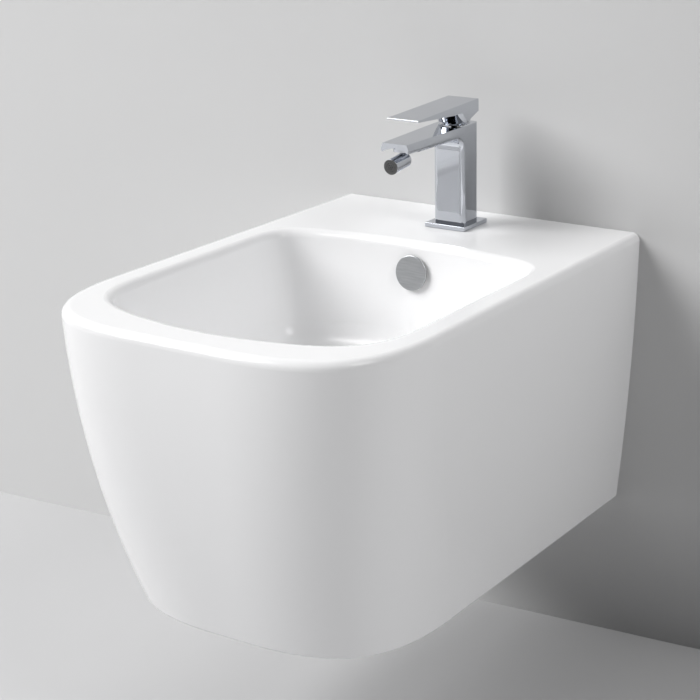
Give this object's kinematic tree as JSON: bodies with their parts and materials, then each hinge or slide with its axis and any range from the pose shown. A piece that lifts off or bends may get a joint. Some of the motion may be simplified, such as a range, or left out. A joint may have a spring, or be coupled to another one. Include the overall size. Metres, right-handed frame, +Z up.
{
  "type": "wall-hung bidet",
  "caption": "Wall-hung ceramic bidet with rounded rectangular bowl, single-lever tap with swivelling spray nozzle, overflow cover, push plug and bottle trap.",
  "frame": {"origin": "middle of the two wall fixing holes, on the rear face that lies against the wall", "axes": "+X to the right as seen from the front, +Y out of the rear face into the wall, +Z up; the rim of the bowl is at Z = 80 mm"},
  "size_m": [0.3596, 0.5497, 0.4265],
  "materials": {
    "glaze": "gloss",
    "chrome": "polished",
    "pipe_chrome": "polished",
    "satin_cover": "satin",
    "white_plastic": "satin",
    "rubber": "matte",
    "steel": "satin",
    "cartridge_plastic": "satin",
    "disc_ceramic": "satin",
    "brass": "satin",
    "aerator_grey": "satin"
  },
  "bodies": {
    "basin": {"cartridge_base": "cartridge_plastic", "cartridge_collar": "chrome", "cartridge_housing": "cartridge_plastic", "cartridge_nut": "steel", "cartridge_seal": "rubber", "ceramic_body": "glaze", "clamp_gasket": "rubber", "clamp_nut": "steel", "clamp_plate": "steel", "cup_seal": "rubber", "elbow_nut": "pipe_chrome", "elbow_seal": "rubber", "fixed_disc": "disc_ceramic", "fixing_nut_left": "steel", "fixing_nut_right": "steel", "fixing_sleeve_left": "white_plastic", "fixing_sleeve_right": "white_plastic", "fixing_washer_left": "steel", "fixing_washer_right": "steel", "nozzle_retaining_ring": "chrome", "outlet_pipe": "pipe_chrome", "overflow_bush": "white_plastic", "overflow_cover": "satin_cover", "plug_guide": "white_plastic", "plug_spring": "steel", "tap_base_plate": "chrome", "tap_body": "chrome", "tap_gasket": "rubber", "tap_stud": "steel", "trap_body": "pipe_chrome", "trap_cup": "pipe_chrome", "trap_inlet_nut": "pipe_chrome", "trap_inlet_seal": "rubber", "trap_outlet_nut": "pipe_chrome", "trap_outlet_seal": "rubber", "wall_rosette": "pipe_chrome", "waste_back_gasket": "rubber", "waste_back_nut": "brass", "waste_body": "pipe_chrome", "waste_elbow": "pipe_chrome", "waste_flange_gasket": "rubber"},
    "rotor": {"cartridge_rotor": "cartridge_plastic", "pivot_pin": "steel"},
    "disc": {"moving_disc": "disc_ceramic"},
    "lever": {"lever": "chrome", "spindle": "brass", "grub_screw": "steel"},
    "nozzle_seat": {"nozzle_seat": "cartridge_plastic"},
    "nozzle": {"nozzle_body": "chrome", "nozzle_aerator": "aerator_grey"},
    "plug": {"plug_cap": "pipe_chrome", "plug_stem": "pipe_chrome", "plug_seal": "rubber"}
  },
  "joints": [
    {"name": "lever_swivel", "type": "hinge", "parent": "basin", "child": "rotor", "pos_m": [0, -0.065, 0.178], "axis": [0, 0, 1], "range_deg": [-45, 45]},
    {"name": "lever_lift", "type": "hinge", "parent": "rotor", "child": "lever", "pos_m": [0, -0.065, 0.178], "axis": [-1, 0, 0], "range_deg": [0, 22]},
    {"name": "disc_slide", "type": "slide", "parent": "rotor", "child": "disc", "axis": [0, -1, 0], "range_m": [0, 0.0025]},
    {"name": "nozzle_swivel", "type": "hinge", "parent": "basin", "child": "nozzle_seat", "pos_m": [0, -0.166, 0.179], "axis": [0, 0, 1], "range_deg": [-20, 20]},
    {"name": "nozzle_tilt", "type": "hinge", "parent": "nozzle_seat", "child": "nozzle", "pos_m": [0, -0.166, 0.179], "axis": [-1, 0, 0], "range_deg": [-10, 8]},
    {"name": "plug_press", "type": "slide", "parent": "basin", "child": "plug", "axis": [0, 0, -1], "range_m": [0, 0.008], "stiffness_N_per_m": 300, "springref_m": -0.012, "deforming": ["plug_spring"]}
  ],
  "couplings": [
    {"joint": "disc_slide", "follows": "lever_lift", "m_per_rad": 0.00625}
  ]
}
